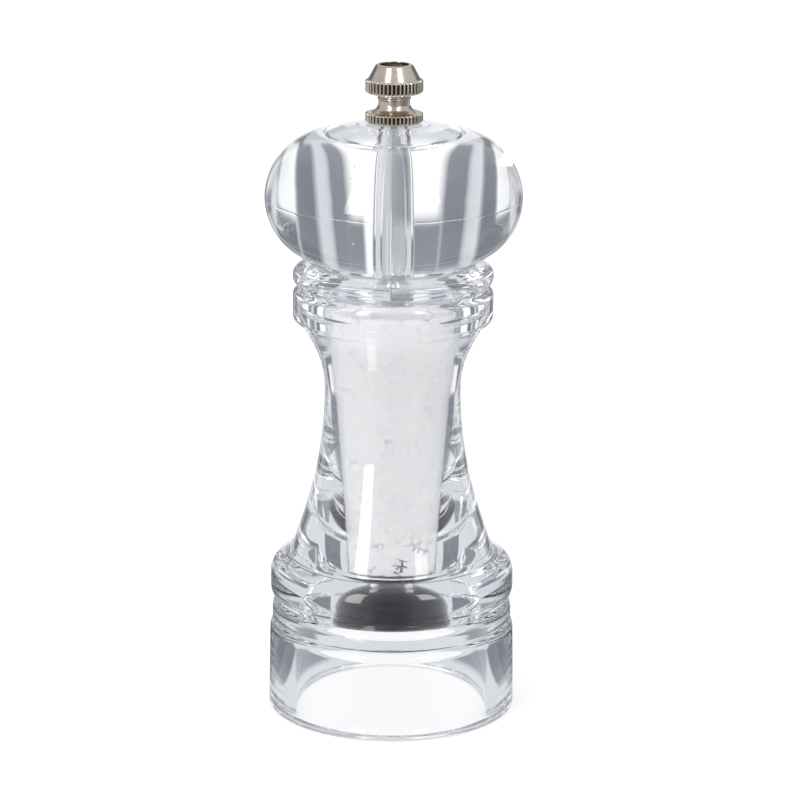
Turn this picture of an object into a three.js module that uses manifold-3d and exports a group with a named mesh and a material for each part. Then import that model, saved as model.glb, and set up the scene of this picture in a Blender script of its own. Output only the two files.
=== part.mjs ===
// Clear acrylic table mill filled with coarse salt. A knurled nut on top clamps a solid round
// head onto a waisted body. The head turns a square shaft, and the shaft turns a ceramic cone
// burr inside a ceramic ring burr, held in a black cartridge pressed into the body from below.
// Millimetres, +Z up. The origin is on the mill's axis at the underside of the base.
import * as THREE from 'three';
import { mergeVertices } from 'three/addons/utils/BufferGeometryUtils.js';
import Module from 'manifold-3d';

const wasm = await Module();
wasm.setup();

// ---- Driving dimensions -------------------------------------------------------------------

const restGap = 0.3; // between pieces that rest on or sit in one another
const roundSegments = 40; // around the large turned pieces
const smallSegments = 28; // around the small turned pieces

// Body: base ring, two grooves, bead, bell, waist and a collar of two flanges.
const baseRadius = 30.4;
const baseTopRadius = 30.05;
const baseTop = 21.3;
const thinRingRadius = 29.5;
const beadRadius = 29.95;
const bellRadius = 24.6;
const bellFoot = 40.3;
const waistRadius = 16.6;
const waistHeight = 80;
const collarRadius = 24.3;
const collarFoot = 97.3;
const collarTop = 111.4;

// Hollows in the body, from the bottom up.
const cavityRadius = 24;
const cavityCeiling = 25.6;
const pocketRadius = 14.2;
const pocketTop = 34.6;
const hopperRadiusBelow = 12.2;
const hopperRadiusAbove = 15.15;
const hopperTaperTop = 100;
const mouthRadius = 15.4;

// Head: a full round swept about the axis, a foot, a tenon and a seat for the nut.
const headRoundCentre = 15.9;
const headRoundRadius = 15.15;
const headRoundRise = 15.5;
const headMiddle = 128;
const headFootRadius = 20.2;
const crownGrooveRadius = 16.5;
const crownGrooveHalf = 0.6;
const tenonRadius = 15;
const tenonBottom = 102.8;
const seatRadius = 8.8;
const seatHeight = 145.8;
const headBoreRadius = 3.3;
const squareSocketTop = 107;

// Drive shaft: a square bar whose top end is threaded over its corners.
const barWidth = 4.4;
const barYaw = THREE.MathUtils.degToRad(38);
const socketPlay = 0.2; // each side, in every square hole that the bar drives
const studRadius = 2.45;
const studFoot = 143.5; // low enough that the square bar stays out of the nut as it rises
const studTop = 155.4;
const shaftEndRadius = 2;
const shaftBottom = 17.2;

// Finial nut.
const nutBottom = seatHeight + restGap;
const nutTop = 160;
const knurlRadius = 6.95;
const knurlDepth = 0.42;
const knurlTeeth = 42;
const nutWaistRadius = 3.8;
const lowerKnurlTop = 148.5;
const nutBeadHeight = 151.9;
const upperKnurlBottom = 153.2;
const upperKnurlTop = 156.3;
const nutMouthRadius = 3.55;

// Grinding cartridge. The burrs close as the shaft rises by up to 2 mm.
const housingRadius = 13.9;
const housingBottom = 22.4;
const housingTop = 34.2;
const housingFlangeRadius = 16;
const burrSeatRadius = 12.6;
const ledgeRadius = 11.2;
const outerBurrRadius = 12.3;
const outerBurrBottom = 23.7;
const outerBurrTop = 30.5;
const outerBoreBottomRadius = 11;
const burrSlope = 0.485; // fall in radius for each millimetre of height
const burrGapAtRest = 1.35; // measured across the axis, at the coarsest setting
const innerBurrBottom = 21.7;
const innerBurrTop = 29.5;
const hubRadius = 4.6;
const burrTeeth = 18;
const burrToothDepth = 0.7;
const burrTwist = THREE.MathUtils.degToRad(24);

// Bridge, bush and spring above the burrs.
const bridgeFoot = 31.9;
const bridgeRingTop = 33.6;
const bridgeDeck = 39.3;
const bridgeTop = 41.9;
const bridgeHubRadius = 6.6;
const bridgeRingRadius = 12.1;
const bridgeLegs = 3;
const bushJournalRadius = 4.4;
const bushFlangeRadius = 6.3;
const springWire = 0.8;
const springRadius = 5.5;
const springTurns = 4;

// Contents.
const saltTop = 101.9;
const saltHoleRadius = 3.7;
const saltHollowTop = 43.2;

// ---- Helpers ------------------------------------------------------------------------------

// One point of a turned outline: its radius, its height and how far its corner is rounded.
const at = (r, z, round = 0) => ({ r, z, round });

// Rounds the marked corners of an outline. A closed outline joins its last point to its first.
function rounded(points, closed = true, steps = 3) {
  const count = points.length;
  const spots = points.map((point) => new THREE.Vector2(point.r, point.z));
  const result = [];
  points.forEach((point, i) => {
    const end = !closed && (i === 0 || i === count - 1);
    if (point.round === 0 || end) {
      result.push(spots[i]);
      return;
    }
    const before = spots[(i + count - 1) % count];
    const after = spots[(i + 1) % count];
    const from = before.clone().sub(spots[i]).setLength(point.round).add(spots[i]);
    const to = after.clone().sub(spots[i]).setLength(point.round).add(spots[i]);
    const pieces = point.round < 0.5 ? 1 : steps;
    result.push(...new THREE.QuadraticBezierCurve(from, spots[i], to).getPoints(pieces));
  });
  if (closed) result.push(result[0].clone());
  return result;
}

// Points along a curve from one radius and height to another, leaving out its first point.
function curve(from, leave, arrive, to, steps) {
  const corners = [from, leave, arrive, to].map(([r, z]) => new THREE.Vector2(r, z));
  const points = new THREE.CubicBezierCurve(...corners).getPoints(steps).slice(1);
  return points.map((point) => at(point.x, point.y));
}

// Turns a closed mesh geometry into a solid that can be cut and joined.
function solid(geometry) {
  const bare = geometry.clone();
  bare.deleteAttribute('normal');
  bare.deleteAttribute('uv');
  const merged = mergeVertices(bare);
  const corners = merged.index.array;
  const kept = [];
  for (let i = 0; i < corners.length; i += 3) {
    const [a, b, c] = corners.slice(i, i + 3);
    if (a !== b && b !== c && c !== a) kept.push(a, b, c);
  }
  return new wasm.Manifold(
    new wasm.Mesh({
      numProp: 3,
      vertProperties: new Float32Array(merged.attributes.position.array),
      triVerts: new Uint32Array(kept),
    }),
  );
}

// A turned solid. The outline runs anticlockwise with radius to the right and height upwards.
function turned(points, segments = roundSegments) {
  return solid(new THREE.LatheGeometry(points, segments).rotateX(Math.PI / 2));
}

// A plain ring with chamfered edges, or a disc where the inner radius is 0.
function ring(outer, inner, bottom, top, bevel = 0, segments = smallSegments) {
  if (inner === 0) {
    const disc = [at(0, bottom), at(outer, bottom, bevel), at(outer, top, bevel), at(0, top)];
    return turned(rounded(disc, false, 1), segments);
  }
  const outline = [at(inner, bottom), at(outer, bottom, bevel), at(outer, top, bevel), at(inner, top)];
  return turned(rounded(outline, true, 1), segments);
}

// An upright prism with flat sides, measured across the flats, turned with the bar.
function prism(acrossFlats, sides, bottom, top) {
  const radius = acrossFlats / 2 / Math.cos(Math.PI / sides);
  const shape = new THREE.CylinderGeometry(radius, radius, top - bottom, sides);
  shape.rotateX(Math.PI / 2);
  shape.rotateZ(barYaw + Math.PI / sides);
  shape.translate(0, 0, (bottom + top) / 2);
  return solid(shape);
}

// A closed skin over a stack of rings that all have the same number of points.
function lofted(rings) {
  const around = rings[0].length;
  const positions = rings.flat().flatMap((point) => point.toArray());
  const faces = [];
  for (let level = 0; level < rings.length - 1; level += 1) {
    for (let i = 0; i < around; i += 1) {
      const a = level * around + i;
      const b = level * around + ((i + 1) % around);
      faces.push(a, b, b + around, a, b + around, a + around);
    }
  }
  const bottomCentre = positions.length / 3;
  positions.push(0, 0, rings[0][0].z, 0, 0, rings.at(-1)[0].z);
  const lastRing = (rings.length - 1) * around;
  for (let i = 0; i < around; i += 1) {
    const next = (i + 1) % around;
    faces.push(bottomCentre, next, i);
    faces.push(bottomCentre + 1, lastRing + i, lastRing + next);
  }
  const geometry = new THREE.BufferGeometry();
  geometry.setAttribute('position', new THREE.Float32BufferAttribute(positions, 3));
  geometry.setIndex(faces);
  return solid(geometry);
}

// A ring of points with pointed teeth between two radii.
function toothedRing(tipRadius, depth, z, teeth, turn = 0) {
  return Array.from({ length: teeth * 2 }, (_, i) => {
    const angle = (i / (teeth * 2)) * 2 * Math.PI + turn;
    const radius = i % 2 === 0 ? tipRadius : tipRadius - depth;
    return new THREE.Vector3(radius * Math.cos(angle), radius * Math.sin(angle), z);
  });
}

// A cone with slanting teeth. Its tips lie on a straight line between the two radii.
function toothedCone(bottomTip, topTip, bottom, top, levels = 5) {
  const rings = [];
  for (let level = 0; level <= levels; level += 1) {
    const share = level / levels;
    const tip = THREE.MathUtils.lerp(bottomTip, topTip, share);
    const z = THREE.MathUtils.lerp(bottom, top, share);
    rings.push(toothedRing(tip, burrToothDepth, z, burrTeeth, share * burrTwist));
  }
  return lofted(rings);
}

// ---- Body and contents --------------------------------------------------------------------

const hopperRadiusAt = (z) => {
  const share = (z - pocketTop) / (hopperTaperTop - pocketTop);
  return THREE.MathUtils.lerp(hopperRadiusBelow, hopperRadiusAbove, share);
};

function makeBody() {
  const baseRing = [
    at(cavityRadius, 0, 0.8),
    at(baseRadius, 0, 0.9),
    at(baseTopRadius, baseTop, 1.6),
    at(28.3, 22, 0.3),
  ];
  const thinRing = [at(thinRingRadius, 22.5, 1), at(thinRingRadius, 26.2, 1.3), at(27.9, 27.3, 0.3)];
  const bead = [at(beadRadius, 28.6, 2.4), at(beadRadius, 37.6, 4.2), at(25.4, 38.8, 0.7)];
  const bell = [
    at(bellRadius, bellFoot),
    ...curve([bellRadius, bellFoot], [21.2, 50], [16.8, 62], [waistRadius, waistHeight], 8),
    ...curve([waistRadius, waistHeight], [waistRadius, 87], [18.8, 91.2], [22.2, 96.9], 6),
  ];
  const collar = [
    at(22.9, collarFoot, 0.3),
    at(collarRadius, 98, 1.2),
    at(collarRadius, 104.9, 1),
    at(22.8, 106.3, 0.3),
    at(collarRadius, 107.6, 1),
    at(collarRadius, 110.6, 1.6),
    at(21.2, collarTop, 0.6),
  ];
  const hollows = [
    at(mouthRadius, collarTop, 0.4),
    at(mouthRadius, hopperTaperTop + 0.6),
    at(hopperRadiusAbove, hopperTaperTop),
    at(hopperRadiusBelow, pocketTop, 0.4),
    at(pocketRadius, pocketTop),
    at(pocketRadius, cavityCeiling, 0.3),
    at(cavityRadius, cavityCeiling, 1.2),
  ];
  const profile = [...baseRing, ...thinRing, ...bead, ...bell, ...collar, ...hollows];
  return turned(rounded(profile, true, 2));
}

function makeSalt() {
  const gap = restGap;
  const bottom = pocketTop + gap;
  const hollowRadius = bridgeRingRadius - 0.8;
  return turned(
    rounded([
      at(hollowRadius, bottom),
      at(hopperRadiusAt(bottom) - gap, bottom),
      at(hopperRadiusAt(saltTop) - gap, saltTop, 0.8),
      at(saltHoleRadius, saltTop),
      at(saltHoleRadius, saltHollowTop),
      at(hollowRadius, saltHollowTop),
    ]),
    40,
  );
}

// ---- Head, nut and shaft ------------------------------------------------------------------

function makeHead() {
  const lowest = -Math.acos((headFootRadius - headRoundCentre) / headRoundRadius);
  const highest = Math.acos((crownGrooveRadius + crownGrooveHalf - headRoundCentre) / headRoundRadius);
  const arcSteps = 14;
  const round = Array.from({ length: arcSteps + 1 }, (_, i) => {
    const angle = THREE.MathUtils.lerp(lowest, highest, i / arcSteps);
    return at(
      headRoundCentre + headRoundRadius * Math.cos(angle),
      headMiddle + headRoundRise * Math.sin(angle),
    );
  });
  const crown = [
    at(crownGrooveRadius, 142.95),
    at(crownGrooveRadius - crownGrooveHalf, 143.65),
    at(12.4, 145),
    at(seatRadius + 0.3, seatHeight - 0.25),
    at(seatRadius - 0.4, seatHeight),
    at(0, seatHeight),
  ];
  const tenon = [
    at(0, tenonBottom),
    at(tenonRadius, tenonBottom, 0.6),
    at(tenonRadius, collarTop + restGap + 0.1, 0.3),
    at(headFootRadius, collarTop + restGap + 0.1, 0.4),
  ];
  const blank = turned(rounded([...tenon, ...round, ...crown], false));
  const bore = ring(headBoreRadius, 0, squareSocketTop, seatHeight + 1);
  const socket = prism(barWidth + 2 * socketPlay, 4, tenonBottom - 1, squareSocketTop + 1);
  return blank.subtract(bore).subtract(socket);
}

function makeNut() {
  const plain = (r, z) => toothedRing(r, 0, z, knurlTeeth);
  const knurled = (r, z) => toothedRing(r, knurlDepth, z, knurlTeeth);
  const blank = lofted([
    plain(knurlRadius - 0.6, nutBottom),
    knurled(knurlRadius, nutBottom + 0.4),
    knurled(knurlRadius, lowerKnurlTop - 0.2),
    plain(knurlRadius - 0.6, lowerKnurlTop),
    plain(5.4, lowerKnurlTop),
    plain(4.4, lowerKnurlTop + 0.8),
    plain(nutWaistRadius, lowerKnurlTop + 1.8),
    plain(nutWaistRadius, nutBeadHeight - 0.4),
    plain(nutWaistRadius + 0.25, nutBeadHeight),
    plain(nutWaistRadius, nutBeadHeight + 0.4),
    plain(nutWaistRadius, upperKnurlBottom),
    knurled(knurlRadius - 0.5, upperKnurlBottom),
    knurled(knurlRadius, upperKnurlBottom + 0.4),
    knurled(knurlRadius, upperKnurlTop - 0.1),
    plain(6.3, upperKnurlTop + 0.2),
    plain(nutMouthRadius + 0.9, nutTop - 0.1),
    plain(nutMouthRadius + 0.5, nutTop),
  ]);
  const thread = ring(studRadius + restGap, 0, nutBottom - 1, nutTop + 1);
  const mouth = ring(nutMouthRadius, 0, upperKnurlBottom + 1, nutTop + 1);
  return blank.subtract(thread).subtract(mouth);
}

function makeShaft() {
  const squareBottom = innerBurrBottom - 1.4;
  const bar = prism(barWidth, 4, squareBottom, studFoot);
  const stud = prism(barWidth, 4, studFoot - 1, studTop);
  const thread = ring(studRadius, 0, studFoot - 0.9, studTop, 0.5);
  const end = ring(shaftEndRadius, 0, shaftBottom, squareBottom + 1, 0.3);
  const groove = ring(shaftEndRadius + 1, shaftEndRadius - 0.5, clip.bottom - 0.1, clip.top + 0.1);
  return bar.add(stud.intersect(thread)).add(end).subtract(groove);
}

// ---- Grinding cartridge -------------------------------------------------------------------

const washer = { bottom: 19.2, top: 20 };
const clip = { bottom: 18.2, top: 18.9 };

function makeHousing() {
  return turned(
    rounded([
      at(burrSeatRadius, housingBottom),
      at(housingRadius, housingBottom, 0.4),
      at(housingRadius, cavityCeiling - restGap - 1.6),
      at(housingFlangeRadius, cavityCeiling - restGap - 1.6, 0.3),
      at(housingFlangeRadius, cavityCeiling - restGap, 0.3),
      at(housingRadius, cavityCeiling - restGap),
      at(housingRadius, housingTop, 0.4),
      at(bridgeRingRadius + restGap, housingTop),
      at(bridgeRingRadius + restGap, bridgeFoot - restGap),
      at(ledgeRadius, bridgeFoot - restGap),
      at(ledgeRadius, outerBurrTop + restGap),
      at(burrSeatRadius, outerBurrTop + restGap),
    ], true, 1),
    36,
  );
}

function makeOuterBurr() {
  const boreTop = outerBoreBottomRadius - burrSlope * (outerBurrTop - outerBurrBottom);
  const blank = ring(outerBurrRadius, 0, outerBurrBottom, outerBurrTop, 0.3, 36);
  const overrun = 0.5; // the cone cutter runs past both faces
  const cutter = toothedCone(
    outerBoreBottomRadius + burrToothDepth + burrSlope * overrun,
    boreTop + burrToothDepth - burrSlope * overrun,
    outerBurrBottom - overrun,
    outerBurrTop + overrun,
  );
  return blank.subtract(cutter);
}

function makeInnerBurr() {
  const tipAt = (z) => outerBoreBottomRadius - burrSlope * (z - outerBurrBottom) - burrGapAtRest;
  const cone = toothedCone(tipAt(innerBurrBottom), tipAt(innerBurrTop), innerBurrBottom, innerBurrTop);
  const keyway = prism(2 * hubRadius, 6, innerBurrBottom - 1, innerBurrTop + 1);
  return cone.subtract(keyway);
}

function makeBurrCarrier() {
  const hub = prism(2 * (hubRadius - restGap), 6, innerBurrBottom - 1, innerBurrTop - 0.3);
  const flange = ring(7.6, 0, innerBurrBottom - restGap - 1, innerBurrBottom - restGap, 0.2);
  const socket = prism(barWidth + 2 * socketPlay, 4, innerBurrBottom - 3, innerBurrTop + 1);
  return hub.add(flange).subtract(socket);
}

function makeRetainingRing() {
  const top = outerBurrBottom - restGap;
  return ring(burrSeatRadius - restGap, outerBoreBottomRadius + 0.5, housingBottom + 0.2, top, 0.2);
}

function makeWasher() {
  return ring(4.4, shaftEndRadius + 0.2, washer.bottom, washer.top, 0.15);
}

function makeClip() {
  const reach = shaftEndRadius - 0.2;
  const opening = THREE.MathUtils.degToRad(35);
  const outline = new THREE.Shape();
  outline.absarc(0, 0, 3.7, opening, 2 * Math.PI - opening, false);
  outline.absarc(0, 0, reach, 2 * Math.PI - opening, opening, true);
  outline.closePath();
  const depth = clip.top - clip.bottom;
  const plate = new THREE.ExtrudeGeometry(outline, { depth, bevelEnabled: false, curveSegments: 20 });
  plate.translate(0, 0, clip.bottom);
  return solid(plate);
}

function makeBridge() {
  const foot = ring(bridgeRingRadius, bridgeRingRadius - 2.5, bridgeFoot, bridgeRingTop, 0, 36);
  const hub = ring(bridgeHubRadius, 0, bridgeDeck, bridgeTop, 0.4);
  let frame = foot.add(hub);
  for (let leg = 0; leg < bridgeLegs; leg += 1) {
    const upright = new THREE.BoxGeometry(1.6, 2.8, bridgeDeck + 1.8 - bridgeFoot - 0.4);
    upright.translate(10.1, 0, (bridgeDeck + 1.8 + bridgeFoot + 0.4) / 2);
    const arm = new THREE.BoxGeometry(5.4, 2.8, 1.8);
    arm.translate(8.2, 0, bridgeDeck + 0.9);
    for (const beam of [upright, arm]) {
      beam.rotateZ((leg / bridgeLegs) * 2 * Math.PI + Math.PI / 2);
      frame = frame.add(solid(beam));
    }
  }
  return frame.subtract(ring(bushJournalRadius + 0.25, 0, bridgeDeck - 1, bridgeTop + 1));
}

function makeBush() {
  const journal = ring(bushJournalRadius, 0, bridgeDeck - 1, bridgeTop + 0.7, 0.2);
  const flange = ring(bushFlangeRadius, 0, bridgeDeck - restGap - 1.2, bridgeDeck - restGap, 0.2);
  const socket = prism(barWidth + 2 * socketPlay, 4, bridgeDeck - 5, bridgeTop + 2);
  return journal.add(flange).subtract(socket);
}

const springBottom = innerBurrTop + restGap;
const springTop = bridgeDeck - 2 * restGap - 1.2;

function makeSpring() {
  const reach = springTop - springBottom - springWire;
  class Coil extends THREE.Curve {
    getPoint(t, target = new THREE.Vector3()) {
      const angle = t * springTurns * 2 * Math.PI;
      const height = springBottom + springWire / 2 + t * reach;
      return target.set(springRadius * Math.cos(angle), springRadius * Math.sin(angle), height);
    }
  }
  const section = new THREE.Shape();
  section.absarc(0, 0, springWire / 2, 0, 2 * Math.PI, false);
  const coil = new THREE.ExtrudeGeometry(section, {
    extrudePath: new Coil(),
    steps: springTurns * 18,
    curveSegments: 3,
    bevelEnabled: false,
  });
  return solid(coil);
}

// ---- Assembly -----------------------------------------------------------------------------

const finishes = {
  acrylic: { color: 0xdfe3e8, roughness: 0.03, metalness: 0, transparent: true, opacity: 0.35 },
  salt: { color: 0xf0f0ee, roughness: 0.85, metalness: 0 },
  nickel: { color: 0xaa9c8c, roughness: 0.22, metalness: 1 },
  aluminium: { color: 0xb4b5b7, roughness: 0.35, metalness: 1 },
  steel: { color: 0xa9aaac, roughness: 0.3, metalness: 1 },
  blackPlastic: { color: 0x2b2c2e, roughness: 0.45, metalness: 0 },
  whitePlastic: { color: 0xe4e4e0, roughness: 0.5, metalness: 0 },
  ceramic: { color: 0xe9e7e1, roughness: 0.6, metalness: 0 },
};

const pieces = [
  ['body', 'acrylic', makeBody],
  ['salt_fill', 'salt', makeSalt],
  ['head', 'acrylic', makeHead],
  ['finial_nut', 'nickel', makeNut],
  ['drive_shaft', 'aluminium', makeShaft],
  ['mechanism_housing', 'blackPlastic', makeHousing],
  ['outer_burr', 'ceramic', makeOuterBurr],
  ['burr_retaining_ring', 'blackPlastic', makeRetainingRing],
  ['inner_burr', 'ceramic', makeInnerBurr],
  ['burr_carrier', 'whitePlastic', makeBurrCarrier],
  ['shaft_washer', 'steel', makeWasher],
  ['shaft_clip', 'steel', makeClip],
  ['bridge', 'whitePlastic', makeBridge],
  ['shaft_bush', 'whitePlastic', makeBush],
  ['spring', 'steel', makeSpring],
];

const mill = new THREE.Group();
for (const [name, finish, make] of pieces) {
  const { vertProperties, triVerts } = make().getMesh();
  const geometry = new THREE.BufferGeometry();
  geometry.setAttribute('position', new THREE.BufferAttribute(vertProperties, 3));
  geometry.setIndex(new THREE.BufferAttribute(triVerts, 1));
  const mesh = new THREE.Mesh(geometry, new THREE.MeshStandardMaterial(finishes[finish]));
  mesh.name = name;
  mill.add(mesh);
}

export default mill;
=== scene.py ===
"""Looks for the clear acrylic salt mill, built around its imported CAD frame.

The clear pieces are spun again at a fine step, with normals worked out from their outlines,
because acrylic shows every facet of a coarse mesh. Sizes are millimetres in the outlines and
become metres as each mesh is made. The outlines repeat the part's own driving dimensions.
"""

import math

import bpy
import numpy as np
from mathutils import Euler, Matrix, Vector, kdtree


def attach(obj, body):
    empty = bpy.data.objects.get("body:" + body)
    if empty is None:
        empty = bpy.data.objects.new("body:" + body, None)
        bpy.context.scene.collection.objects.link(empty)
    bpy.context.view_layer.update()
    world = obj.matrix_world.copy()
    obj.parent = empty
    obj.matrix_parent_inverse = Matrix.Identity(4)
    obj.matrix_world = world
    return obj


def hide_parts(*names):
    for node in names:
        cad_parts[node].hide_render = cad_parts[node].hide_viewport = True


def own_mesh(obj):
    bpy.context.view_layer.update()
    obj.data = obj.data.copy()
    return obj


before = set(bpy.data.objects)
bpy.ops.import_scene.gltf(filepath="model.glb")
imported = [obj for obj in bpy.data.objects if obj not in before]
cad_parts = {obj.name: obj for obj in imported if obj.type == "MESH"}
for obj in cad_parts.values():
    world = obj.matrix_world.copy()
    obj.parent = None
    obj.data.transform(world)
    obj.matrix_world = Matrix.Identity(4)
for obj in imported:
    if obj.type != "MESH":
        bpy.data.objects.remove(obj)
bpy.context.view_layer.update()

MM = 0.001
SEED = 11

# ---- Driving dimensions, millimetres ------------------------------------------------------

BASE_RADIUS = 30.4
BASE_TOP_RADIUS = 30.05
BASE_TOP = 21.3
BASE_GROOVE_RADIUS = 28.3
THIN_RING_RADIUS = 29.5
BEAD_GROOVE_RADIUS = 27.9
BEAD_RADIUS = 29.95
BELL_RADIUS = 24.6
BELL_FOOT = 40.3
WAIST_RADIUS = 16.6
WAIST_HEIGHT = 80
COLLAR_RADIUS = 24.3
COLLAR_GROOVE_RADIUS = 22.8
COLLAR_FOOT = 97.3
COLLAR_TOP = 111.4

CAVITY_RADIUS = 24
CAVITY_CEILING = 25.6
POCKET_RADIUS = 14.2
POCKET_TOP = 34.6
HOPPER_RADIUS_BELOW = 12.2
HOPPER_RADIUS_ABOVE = 15.15
HOPPER_TAPER_TOP = 100
MOUTH_RADIUS = 15.4

HEAD_ROUND_CENTRE = 15.9
HEAD_ROUND_RADIUS = 15.15
HEAD_ROUND_RISE = 15.5
HEAD_MIDDLE = 128
HEAD_FOOT_RADIUS = 20.2
HEAD_FOOT = 111.8
CROWN_GROOVE_RADIUS = 16.5
CROWN_GROOVE_HALF = 0.6
SEAM_HALF = 0.16
SEAM_RISE = 0.05
TENON_RADIUS = 15
TENON_BOTTOM = 102.8
SEAT_RADIUS = 8.8
SEAT_HEIGHT = 145.8
HEAD_BORE_RADIUS = 3.3
SQUARE_SOCKET_TOP = 107

BAR_WIDTH = 4.4
BAR_YAW = math.radians(38)
BAR_CORNER_RADIUS = 2.98
SOCKET_WIDTH = 4.8
SOCKET_CORNER_SHARE = 1.38  # a socket corner's distance from the axis over half its width
STUD_RADIUS = 2.45
STUD_FOOT = 143.5
STUD_TOP = 155.4
SHAFT_END_RADIUS = 2
SHAFT_BOTTOM = 17.2
SQUARE_BOTTOM = 20.3
THREAD_PITCH = 0.8
THREAD_DEPTH = 0.3
CLIP_BOTTOM = 18.1
CLIP_TOP = 19.0

NUT_BOTTOM = 146.1
NUT_TOP = 160
KNURL_RADIUS = 6.95
KNURL_DEPTH = 0.42
KNURL_TEETH = 42
KNURL_INNER_RADIUS = KNURL_RADIUS - 0.6
LOWER_KNURL_TOP = 148.3
LOWER_KNURL_END = 148.5
UPPER_KNURL_START = 153.2
UPPER_KNURL_BOTTOM = 153.6
UPPER_KNURL_TOP = 156.2
NUT_WAIST_RADIUS = 3.8
NUT_BORE_RADIUS = 2.75
NUT_MOUTH_RADIUS = 3.55
NUT_MOUTH_BOTTOM = 154.2
NUT_BEAD_HEIGHT = 151.9

SALT_TOP = 101.9
SALT_BOTTOM = 34.9
SALT_GAP = 0.3
SALT_HOLE_RADIUS = 3.7
SALT_HOLLOW_TOP = 43.2
SALT_HOLLOW_RADIUS = 11.3
SALT_CRYSTALS = 5200
SALT_DEEPEST = 1.1
LOOSE_SALT_HEIGHTS = (30, 43)
LOOSE_SALT_SIDES = (-4, 8)

HOUSING_RADIUS = 13.9
HOUSING_BOTTOM = 22.4
HOUSING_TOP = 34.2
HOUSING_FLANGE_RADIUS = 16
BURR_SEAT_RADIUS = 12.6
LEDGE_RADIUS = 11.2
LEDGE_BOTTOM = 30.8
LEDGE_TOP = 31.6
BRIDGE_RING_RADIUS = 12.1

SPRING_WIRE = 0.8
SPRING_RADIUS = 5.5
SPRING_TURNS = 4
SPRING_BOTTOM = 29.8
SPRING_TOP = 37.5

BUBBLES = 16

# Faces around each piece that is spun again.
CLEAR_SEGMENTS = 224
SALT_SEGMENTS = 200
BAR_SEGMENTS = 192
HOUSING_SEGMENTS = 160

# ---- Camera, floor and studio -------------------------------------------------------------

CAMERA_DISTANCE = 0.780
CAMERA_HEIGHT = 0.290
CAMERA_SIDE = 0.0018
AIM_HEIGHT = 0.0773
CAMERA_LENS = 149.06
CAMERA_ROLL = math.radians(0.34)

# How light the studio is around the mill: degrees from straight behind it, rightward, and the
# brightness there. Tall light panels stand behind the mill with darker gaps between them.
STUDIO_BANDS = (
    (-180.0, 0.30),
    (-150.0, 0.66),
    (-101.0, 0.74),
    (-95.0, 0.80),
    (-62.0, 0.74),
    (-58.0, 0.40),
    (-55.5, 1.08),
    (-42.0, 1.08),
    (-40.5, 0.22),
    (-32.0, 0.22),
    (-29.5, 0.78),
    (-24.5, 0.70),
    (-22.5, 0.24),
    (-15.5, 0.25),
    (-13.0, 1.06),
    (12.0, 1.08),
    (13.5, 0.28),
    (18.5, 0.26),
    (20.0, 0.72),
    (24.5, 0.72),
    (26.0, 0.21),
    (36.0, 0.22),
    (38.0, 1.08),
    (54.0, 1.08),
    (57.0, 0.34),
    (62.0, 0.44),
    (80.0, 0.42),
    (84.0, 0.28),
    (110.0, 0.28),
    (130.0, 0.45),
    (150.0, 0.60),
    (180.0, 0.30),
)
# Windows and steps are pairs of angles in degrees, sideways or upward, or of metres.
SIDE_PANEL = (37.5, 57.0)
SIDE_PANEL_TOP = (7, 11)  # the side panels are low, so the dark wall shows above them
TABLE_EDGE = (1.5, 8.0)
BESIDE_CENTRE = ((-14.5, -5.0), (8.5, 14.0))  # the middle panel is narrower above the table
SIDE_WALL = (58.0, 148.0)  # the wall is light nearly down to the floor between these angles
SIDE_WALL_FOOT = (2, 7)
UPPER_FOOT = (17, 23)
UPPER_GAP = (-4.5, 8.5)  # the middle panel goes on up through the wall above
GAP_TONE = 0.22
BESIDE_TONE = 0.28
UPPER_TONE = 0.72
BACKDROP_TONE = 1.05
DARK_TINT = (0.86, 0.96, 1.14)

# The floor near the mill is pale except where it mirrors the dark wall.
UNDER_MILL = (0.0235, 0.0250)
UNDER_MILL_TONE = 1.0
NEAR_FLOOR = (0.20, 0.28)
NEAR_FLOOR_TONE = 0.74
NEAR_DARK = (33.0, 80.0)
NEAR_DARK_START = (0.034, 0.040)
NEAR_FRONT = (140.0, 160.0)  # farther round than this the floor is dim, as the camera's side is
NEAR_FRONT_TONE = 0.36
PAPER_TONE = 0.4
FLOOR_LIFT = 0.46

# Two upright strip lights stand beside the camera, and matt surfaces are lit evenly.
STRIP_ANGLE = 36
STRIP_WIDTH = 15
STRIP_FOOT_LEFT = -5
STRIP_FOOT_RIGHT = 18
STRIP_TOP = 52
STRIP_POWER = 9.0
STRIP_POWER_INSIDE = 4.0  # for light that has been through the acrylic, which sparkles less
MATT_LIGHT_LEFT = 1.92
MATT_LIGHT_RIGHT = 1.32
MATT_LIGHT_BELOW = 1.4


# ---- Outlines -----------------------------------------------------------------------------


def at(r, z, rounding=0.0):
    """One corner of an outline: its radius, its height and how far it is rounded."""
    return (r, z, rounding)


def rounded(corners, closed=True, steps=7):
    """Rounds the marked corners of an outline with a smooth curve that meets both sides."""
    count = len(corners)
    result = []
    for i, (r, z, rounding) in enumerate(corners):
        spot = Vector((r, z))
        at_end = not closed and i in (0, count - 1)
        if rounding == 0 or at_end:
            result.append(spot)
            continue
        before = Vector(corners[i - 1][:2])
        after = Vector(corners[(i + 1) % count][:2])
        start = spot + (before - spot).normalized() * rounding
        end = spot + (after - spot).normalized() * rounding
        for step in range(steps + 1):
            t = step / steps
            result.append(start * (1 - t) ** 2 + spot * 2 * t * (1 - t) + end * t * t)
    return result


def curve(start, leave, arrive, end, steps):
    """Points along a smooth curve from one radius and height to another, without its first."""
    result = []
    for step in range(1, steps + 1):
        t = step / steps
        weights = ((1 - t) ** 3, 3 * t * (1 - t) ** 2, 3 * t * t * (1 - t), t**3)
        corners = (start, leave, arrive, end)
        r = sum(w * c[0] for w, c in zip(weights, corners))
        z = sum(w * c[1] for w, c in zip(weights, corners))
        result.append(at(r, z))
    return result


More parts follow.
